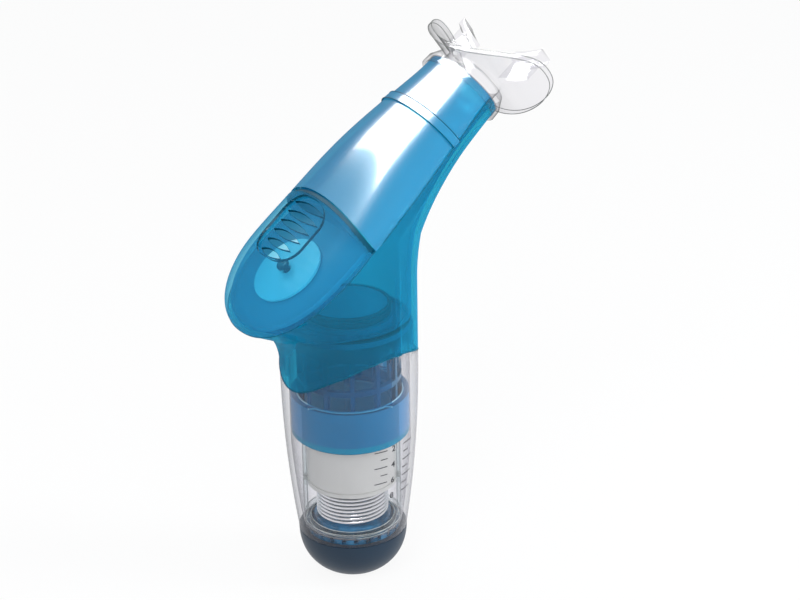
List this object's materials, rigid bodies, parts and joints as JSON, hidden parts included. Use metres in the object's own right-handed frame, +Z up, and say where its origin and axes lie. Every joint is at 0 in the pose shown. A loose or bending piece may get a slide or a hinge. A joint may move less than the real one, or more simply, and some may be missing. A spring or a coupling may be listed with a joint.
{
  "type": "inspiratory muscle trainer",
  "caption": "Hand-held breathing trainer: domed vented head with mouthpiece on a clear barrel that shows a sprung load sleeve, set by a round knob at the foot.",
  "frame": {"origin": "centre of the flat foot under the knob, on the barrel's axis", "axes": "+Z up the barrel's axis, +X towards the mouth end, the XZ plane is the head's plane of symmetry"},
  "size_m": [0.1181, 0.06, 0.1956],
  "materials": {
    "blue_shell": "polished, translucent",
    "blue_deck": "satin, translucent",
    "blue_silicone": "soft satin",
    "navy_plastic": "semi-gloss",
    "clear_silicone": "clear, soft",
    "clear_plastic": "clear",
    "grey_plastic": "satin",
    "silver_sleeve": "satin silver",
    "white_plastic": "satin",
    "spring_steel": "bright",
    "stem_steel": "turned",
    "maroon_rubber": "matt",
    "blue_seat": "satin, translucent",
    "pale_blue_plastic": "satin, translucent"
  },
  "bodies": {
    "housing": {"rear_housing": "blue_shell", "front_cover": "blue_shell", "vent_cover": "blue_shell", "exhale_deck": "blue_deck", "flap_stud": "navy_plastic", "clear_barrel": "clear_plastic", "valve_seat": "blue_seat", "stem_guide": "blue_seat", "seat_gasket": "maroon_rubber", "valve_cage": "blue_seat", "screw_cup": "pale_blue_plastic"},
    "knob": {"adjuster_knob": "navy_plastic", "air_grille": "grey_plastic", "drive_fork": "clear_plastic"},
    "spring_washer": {"thrust_washer": "white_plastic", "load_spring": "spring_steel"},
    "sleeve": {"load_sleeve": "silver_sleeve"},
    "poppet": {"inhale_poppet": "blue_deck", "poppet_o_ring": "maroon_rubber", "valve_stem": "stem_steel", "spring_retainer": "white_plastic", "stem_nut": "stem_steel"},
    "flap": {"exhale_flap": "blue_silicone"},
    "mouthpiece": {"mouthpiece": "clear_silicone"}
  },
  "joints": [
    {"name": "knob_turn", "type": "hinge", "parent": "housing", "child": "knob", "pos_m": [0, 0, 0], "axis": [0, 0, 1], "range_deg": [0, 2880]},
    {"name": "sleeve_travel", "type": "slide", "parent": "housing", "child": "spring_washer", "axis": [0, 0, 1], "range_m": [0, 0.02641], "deforming": ["load_spring"]},
    {"name": "sleeve_turn", "type": "hinge", "parent": "spring_washer", "child": "sleeve", "pos_m": [0, 0, 0], "axis": [0, 0, 1], "range_deg": [0, 2881]},
    {"name": "poppet_lift", "type": "slide", "parent": "housing", "child": "poppet", "axis": [0, 0, 1], "range_m": [0, 0.004], "stiffness_N_per_m": 190, "springref_m": -0.0264},
    {"name": "flap_lift", "type": "slide", "parent": "housing", "child": "flap", "axis": [-0.5878, 0, 0.809], "range_m": [0, 0.002], "stiffness_N_per_m": 20, "springref_m": -0.001},
    {"name": "mouthpiece_pull", "type": "slide", "parent": "housing", "child": "mouthpiece", "axis": [0.809, 0, 0.5878], "range_m": [0, 0.018]}
  ],
  "couplings": [
    {"joint": "sleeve_travel", "follows": "knob_turn", "m_per_rad": 0.00052521},
    {"joint": "sleeve_turn", "follows": "knob_turn", "ratio": 1}
  ]
}
